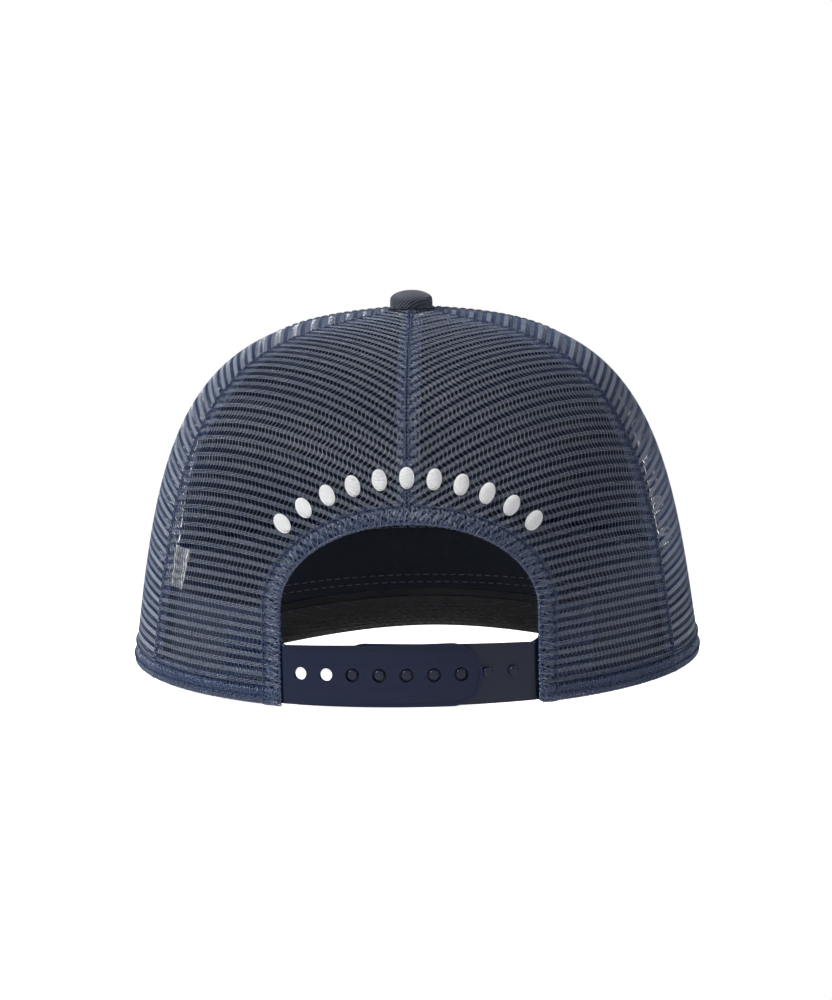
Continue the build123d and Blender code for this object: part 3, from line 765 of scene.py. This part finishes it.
label = Shape()
z, y = np.meshgrid(np.linspace(LABEL_LOW, LABEL_HIGH, 36), np.linspace(LABEL_NEAR, LABEL_FAR, 25))
phi = phi_of_height(z)
theta = across_to_azimuth(y, phi)
curl = 0.25 * np.clip((z - 32) / 12, 0, 1) ** 2 * (1 + 0.4 * np.sin(y * 0.3))
label.slab(crown(theta, phi, LABEL_OUTER + curl), crown(theta, phi, LABEL_INNER + curl), np.stack([y, z], -1))
y = np.linspace(LABEL_NEAR + 0.6, LABEL_FAR - 0.6, 60)
phi = phi_of_height(np.full_like(y, LABEL_LOW + 1.2))
theta = across_to_azimuth(y, phi)
stitches(label, crown(theta, phi, LABEL_INNER + 0.04), -crown_normal(theta, phi), pitch=2.4, radius=0.15,
         material=1)
label.build("care_label_satin", [label_cloth, grey_thread], "label", ["care_label"], recalc=True)


# ---------------------------------------------------------------- visor
def rim_curve(count):
    a = np.linspace(0, math.pi, count)
    c, s = np.cos(a), np.sin(a)
    x = np.sign(c) * VISOR_HALF * np.abs(c) ** (2 / VISOR_POWER)
    return x, -VISOR_ROOT - VISOR_REACH * np.abs(s) ** (2 / VISOR_POWER)


def even_rim(count):
    """Points at even steps round the visor's rim, from its left root to its right one."""
    x, y = rim_curve(6001)
    run = np.concatenate([[0], np.cumsum(np.hypot(np.diff(x), np.diff(y)))])
    at = np.linspace(0, run[-1], count)
    return np.interp(at, run, x), np.interp(at, run, y)


def rim_outward(x, y):
    """The way out at each point of the rim, seen from above."""
    t = unit(np.gradient(np.stack([x, y], -1), axis=0))
    return -t[:, 1], t[:, 0]


STITCH_ROWS = (3.4, 11.5, 19.6, 27.7, 35.8, 43.9, 52.0)
COLUMNS = 260
rim_x, rim_y = even_rim(COLUMNS)
out_x, out_y = rim_outward(rim_x, rim_y)
# the visor's root, tucked under the front panel
inner_half, inner_depth = HALF_WIDTH - VISOR_TUCK, HALF_DEPTH - VISOR_TUCK
corner = math.asin(VISOR_ROOT / inner_depth)
sweep = -corner - (math.pi - 2 * corner) * np.linspace(0, 1, COLUMNS)
in_x, in_y = inner_half * np.cos(sweep), inner_depth * np.sin(sweep)


def rim_distance(x, y):
    """How far points are from the rim, worked out in blocks to save memory."""
    fine = np.stack(even_rim(900), -1)
    flat = np.stack([x.ravel(), y.ravel()], -1)
    out = np.empty(len(flat))
    for i in range(0, len(flat), 4000):
        out[i:i + 4000] = np.sqrt(((flat[i:i + 4000, None] - fine[None]) ** 2).sum(-1).min(1))
    return out.reshape(x.shape)


def quilt(x, y):
    """How far the cloth is drawn in by the stitch rows, from 0 to 1."""
    away = rim_distance(x, y)
    return sum(np.exp(-(((away - row) / 0.9) ** 2)) for row in STITCH_ROWS)


def visor_sheet(rows, grow):
    """A grid seen from above, from the crown out to the rim."""
    f = np.linspace(0, 1, rows)[None]
    ex, ey = rim_x + out_x * grow, rim_y + out_y * grow
    x = in_x[:, None] + (ex - in_x)[:, None] * f
    y = in_y[:, None] + (ey - in_y)[:, None] * f
    return x, y


def visor_top():
    """The top cloth, with its edge wrapped round the board's rim."""
    x, y = visor_sheet(110, 0.0)
    upper = visor_point(x, y, PLIES - 0.02 - 0.22 * quilt(x, y))
    edge = [(0.35, PLIES - 0.08), (0.65, PLIES - 0.3), (0.8, PLIES - 0.7), (0.82, 1.7), (0.78, 0.8),
            (0.6, 0.32), (0.35, 0.3), (0.12, 0.42), (0.1, 1.5)]
    wrap = [visor_point(rim_x + out_x * g, rim_y + out_y * g, np.full_like(rim_x, h)) for g, h in edge]
    lower = visor_point(x[:, ::-1], y[:, ::-1], PLIES - TOP + 0.05)
    section = np.concatenate([upper, np.stack(wrap, 1), lower], 1)
    n, m = section.shape[:2]
    i = np.arange(n * m).reshape(n, m)
    j = np.roll(i, -1, 1)
    q = np.stack([i[:-1], i[1:], j[1:], j[:-1]], -1).reshape(-1, 4)
    run = np.cumsum(np.linalg.norm(np.diff(section, axis=1), axis=2), 1)
    run = np.concatenate([np.zeros((n, 1)), run], 1)
    flat = np.stack([np.broadcast_to(np.linspace(0, RIM_LENGTH, n)[:, None], run.shape), run], -1)
    flat = np.where((np.arange(m) < x.shape[1])[None, :, None], section[..., :2], flat)
    shape = Shape()
    shape.add(section, [q, i[0][None, ::-1], i[-1][None]], flat)
    return shape


visor_top().build("visor_top_cloth_sewn", [front_cloth], "front_cloth", ["visor_top_cloth"], recalc=True)

under = Shape()
x, y = visor_sheet(100, -0.1)
groove = 0.18 * quilt(x, y)
under.slab(visor_point(x, y, UNDER - 0.06), visor_point(x, y, 0.02 + groove), np.stack([x, y], -1))
under.build("visor_under_cloth_sewn", [under_cloth], "visor_under_cloth", ["visor_under_cloth"], recalc=True)

rows_top, rows_under = Shape(), Shape()
fx, fy = even_rim(1400)
away_x, away_y = rim_outward(fx, fy)
for inset in STITCH_ROWS:
    sx, sy = fx - away_x * inset, fy - away_y * inset
    ok = ((sx / (HALF_WIDTH + 0.5)) ** 2 + (sy / (HALF_DEPTH + 0.5)) ** 2 > 1) & (sy < -VISOR_ROOT - 0.5)
    sx, sy = sx[ok], sy[ok]
    for shape, lift, sign in ((rows_top, PLIES - 0.2, 1), (rows_under, 0.18, -1)):
        p = visor_point(sx, sy, np.full_like(sx, lift))
        a = visor_point(sx + 0.1, sy, np.full_like(sx, lift)) - p
        b = visor_point(sx, sy + 0.1, np.full_like(sx, lift)) - p
        stitches(shape, p, unit(np.cross(a, b)) * sign, pitch=3.1, proud=0.14)
rows_top.build("visor_top_stitches", [navy_thread], "thread", recalc=True)
rows_under.build("visor_under_stitches", [grey_thread], "thread", recalc=True)

# ---------------------------------------------------------------- button
BUTTON_BASE, BUTTON_RADIUS, BUTTON_TALL, BUTTON_RIM = CROWN + 0.05, 7.0, 4.9, 1.8
BUTTON_WALL, BUTTON_GATHERS = 0.6, 14


def dome(inset):
    """The dome's profile, in pairs of radius and height, with its middle closed to a speck."""
    a = np.linspace(0, math.pi / 2, 30)[:-1]
    rise = BUTTON_TALL - BUTTON_RIM - inset
    curve = np.stack([(BUTTON_RADIUS - inset) * np.cos(a), BUTTON_RIM + rise * np.sin(a)], -1)
    return np.concatenate([curve, [[0.02, BUTTON_TALL - inset]]])


def turned(foot, inset):
    """The foot's points and the dome turned round the button's axis, gathered near the foot."""
    profile = np.concatenate([np.array(foot) + [BUTTON_RADIUS - inset, 0], dome(inset)])
    turn = np.linspace(0, 2 * math.pi, 97)
    gather = 0.10 * np.sin(turn * BUTTON_GATHERS)[:, None] * np.clip(1.4 - profile[:, 1] / 1.6, 0, 1)
    r = profile[:, 0] + gather * (profile[:, 0] > 3)
    return np.stack([r * np.cos(turn)[:, None], r * np.sin(turn)[:, None],
                     np.broadcast_to(BUTTON_BASE + profile[:, 1], r.shape)], -1)


button = Shape()
outside = turned([(-0.5, -0.85), (-0.2, -0.8), (-0.02, -0.5), (0, 0.4)], 0.0)
within = turned([(0.02, -0.8), (0, -0.6), (0, -0.3), (0, 0.5)], BUTTON_WALL)
button.slab(outside, within, np.stack([outside[..., 0], outside[..., 1] - outside[..., 2]], -1))
button.build("button_cover_cloth", [button_cloth], "button_cloth", ["button_cover"], recalc=True)

# ---------------------------------------------------------------- stitched ornament
MOTIF_ARC, MOTIF_TOP, MOTIF_COUNT, MOTIF_STEP, MOTIF_LONG, MOTIF_WIDE = 61.0, 72.0, 11, 8.2, 6.2, 4.4
MOTIF_SLANT, MOTIF_CREST = 0.28, 0.62


def motif(shape, lean):
    """A plain stitched oval on the arch over the opening: slanted threads, and a thread round them."""

    def place(across, up):
        x = MOTIF_ARC * math.sin(lean) + across * math.cos(lean) + up * math.sin(lean)
        z = MOTIF_TOP - MOTIF_ARC + MOTIF_ARC * math.cos(lean) - across * math.sin(lean) + up * math.cos(lean)
        return x, z

    half_wide, half_long = MOTIF_WIDE / 2, MOTIF_LONG / 2
    up = np.linspace(-1, 1, 16)[1:-1] * half_long
    half = half_wide * np.sqrt(1 - (up / half_long) ** 2)
    w = np.linspace(-1, 1, 9)
    across = half[:, None] * w + rng.normal(0, 0.03, (len(up), 1))
    x, z = place(across, up[:, None] + MOTIF_SLANT * w * half[:, None] / half_wide)
    crest = MOTIF_CREST * np.sqrt(np.maximum(1 - w**2, 0)) * (half[:, None] / half_wide) ** 0.5
    p, n = behind(x, z, 0.35 - crest)
    shape.tubes(p, n, 0.23, sides=6)
    ring = np.linspace(0, 2 * math.pi, 49)
    x, z = place(half_wide * np.cos(ring), half_long * np.sin(ring))
    p, n = behind(x, z, np.full_like(ring, 0.15))
    shape.tubes(p[None], n[None], 0.2, sides=6)


motifs = Shape()
for k in range(MOTIF_COUNT):
    motif(motifs, math.radians((k - (MOTIF_COUNT - 1) / 2) * MOTIF_STEP))
motifs.build("rear_embroidery_threads", [white_thread], "thread", ["rear_embroidery"])

# ---------------------------------------------------------------- the straps' bends
STRAP_ARC, STRAP_MIDDLE, STRAP_LEAN, STRAP_PLY, STRAP_GAP = 103.0, 96.9, math.radians(4.0), 1.0, 0.2
STRAP_LOW, STRAP_HIGH, STRAP_END_HIGH, HINGE_X = 0.7, 20.7, 19.3, 39.7
BEND_INSET, BEND_LAP, BEND_REACH = 0.06, 0.12, 2.4
ANCHOR_DEPTH = 1.5
strap_centre = STRAP_MIDDLE - STRAP_ARC
hinge_angle = math.asin(HINGE_X / (STRAP_ARC - STRAP_PLY))


def strap_bend(name, side, radius, depth, mat):
    """The short bend between a strap and its sewn end, which follows both."""
    t = np.linspace(0, 1, 9)
    top = STRAP_END_HIGH + (STRAP_HIGH - STRAP_END_HIGH) * t - 0.05
    z = STRAP_LOW + 0.05 + (top - STRAP_LOW - 0.05) * np.linspace(0, 1, 16)[:, None]
    faces = []
    for inset in (BEND_INSET, STRAP_PLY - BEND_INSET):
        r = radius - inset - z * math.tan(STRAP_LEAN)
        x0, y0 = r * math.sin(hinge_angle) - BEND_LAP, strap_centre + r * math.cos(hinge_angle)
        reach = (HINGE_X + BEND_REACH) * HALF_WIDTH / (HALF_WIDTH - depth - inset)
        p1, _ = behind(np.full_like(z, reach), z, depth + inset)
        x = x0 + (p1[..., 0] - x0) * t
        y = y0 + (p1[..., 1] - y0) * t * t * (3 - 2 * t)
        faces.append(np.stack([side * x, y, z], -1))
    shape = Shape()
    shape.slab(faces[0], faces[1], faces[0][..., [0, 2]])
    made = shape.build(name, [mat], "strap_plastic", recalc=True, body=None)
    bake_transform(made)


INNER_STEP = STRAP_PLY + STRAP_GAP
strap_bend("strap_bend_left", 1, STRAP_ARC, ANCHOR_DEPTH, plastic)
strap_bend("strap_bend_right", -1, STRAP_ARC - INNER_STEP, ANCHOR_DEPTH + INNER_STEP,
           inner_plastic)

# ---------------------------------------------------------------- moulded and metal CAD parts
CARRIED = {
    "strap_with_holes": plastic,
    "strap_with_studs": inner_plastic,
    "strap_anchor_left": plastic,
    "strap_anchor_right": inner_plastic,
    "visor_board": board_mat,
    "button_core": metal,
    "button_washer": metal,
}
for name, mat in CARRIED.items():
    part = frame["nodes"][name]
    part.data.materials.clear()
    part.data.materials.append(mat)

# ---------------------------------------------------------------- floor, light and camera
AMBIENT = 0.03
FLOOR_GLOW, FLOOR_SEEN = 0.10, 0.9
FLOOR_RADIUS, FLOOR_DROP, FADE_START, FADE_END = 6.0, 0.0002, 0.22, 0.6
floor_mesh = bpy.data.meshes.new("floor")
bm = bmesh.new()
bmesh.ops.create_circle(bm, cap_ends=True, segments=96, radius=FLOOR_RADIUS)
bm.to_mesh(floor_mesh)
bm.free()
floor = bpy.data.objects.new("floor", floor_mesh)
bpy.context.scene.collection.objects.link(floor)
floor.location.z = -FLOOR_DROP
floor_mat, tree, bsdf = principled("floor_paint", 0.9, Specular_IOR_Level=0.0)
bsdf.inputs["Base Color"].default_value = (0.9, 0.9, 0.9, 1)
bsdf.inputs["Emission Color"].default_value = (1, 1, 1, 1)
direct = node(tree, "ShaderNodeLightPath").outputs["Is Camera Ray"]
glow = node(tree, "ShaderNodeMapRange", {"Value": direct, "To Min": FLOOR_GLOW, "To Max": FLOOR_SEEN})
tree.links.new(glow.outputs[0], bsdf.inputs["Emission Strength"])
place = node(tree, "ShaderNodeTexCoord").outputs["Object"]
far = node(tree, "ShaderNodeVectorMath", {0: place}, operation="LENGTH").outputs["Value"]
fade = node(tree, "ShaderNodeMapRange", {"Value": far, "From Min": FADE_START, "From Max": FADE_END})
clear = node(tree, "ShaderNodeBsdfTransparent").outputs[0]
blend = node(tree, "ShaderNodeMixShader", {0: fade.outputs[0], 1: bsdf.outputs[0], 2: clear}).outputs[0]
tree.links.new(blend, tree.nodes["Material Output"].inputs[0])
floor_mesh.materials.append(floor_mat)

world = bpy.data.worlds.new("studio")
world.use_nodes = True
sky = world.node_tree.nodes["Background"]
sky.inputs[0].default_value = (1, 1, 1, 1)
seen = node(world.node_tree, "ShaderNodeLightPath").outputs["Is Camera Ray"]
strength = node(world.node_tree, "ShaderNodeMapRange", {"Value": seen, "To Min": AMBIENT, "To Max": 1.0})
world.node_tree.links.new(strength.outputs[0], sky.inputs[1])
bpy.context.scene.world = world
bpy.context.scene.view_settings.view_transform = "Standard"

TARGET_HEIGHT = 55.0
target = Vector(ORIGIN + np.array([0, 0, TARGET_HEIGHT]) @ RING)


def area_light(name, azimuth, elevation, distance, size, energy):
    lamp = bpy.data.lights.new(name, "AREA")
    lamp.shape, lamp.size, lamp.energy = "DISK", size, energy
    placed = bpy.data.objects.new(name, lamp)
    a, e = math.radians(azimuth), math.radians(elevation)
    way = Vector((math.sin(a) * math.cos(e), -math.cos(a) * math.cos(e), math.sin(e)))
    placed.location = target + way * distance
    placed.rotation_euler = (-way).to_track_quat("-Z", "Y").to_euler()
    bpy.context.scene.collection.objects.link(placed)


# azimuth and elevation in degrees, distance and diameter in metres, power in watts
area_light("key", 118, 40, 1.5, 0.35, 30)
area_light("back", 190, 62, 1.7, 0.8, 5)
area_light("right", 245, 35, 1.7, 0.6, 11)
area_light("front", 20, 45, 1.8, 1.0, 3)

CAMERA_AWAY, CAMERA_RISE, CAMERA_YAW, CAMERA_ROLL = 1.5, 9.11, -1.66, -1.02
FOCAL_LENGTH, SENSOR_WIDTH = 161.4, 36.0
SHIFT_X, SHIFT_Y = 0.0014, -0.0116
camera_data = bpy.data.cameras.new("camera")
camera_data.lens, camera_data.sensor_width = FOCAL_LENGTH, SENSOR_WIDTH
camera_data.clip_start, camera_data.clip_end = 0.05, 50
camera_data.shift_x, camera_data.shift_y = SHIFT_X, SHIFT_Y
camera = bpy.data.objects.new("camera", camera_data)
rise, yaw = math.radians(CAMERA_RISE), math.radians(CAMERA_YAW)
back = np.array([math.sin(yaw) * math.cos(rise), math.cos(yaw) * math.cos(rise), math.sin(rise)])
back = back @ RING * 1000
right = unit(np.cross(RING_Z, back))
camera.location = target + Vector(back) * CAMERA_AWAY
camera.rotation_mode = "QUATERNION"
upright = Matrix(np.stack([right, np.cross(back, right), back], 1).tolist()).to_quaternion()
camera.rotation_quaternion = upright @ Quaternion((0, 0, 1), math.radians(CAMERA_ROLL))
bpy.context.scene.collection.objects.link(camera)
bpy.context.scene.camera = camera
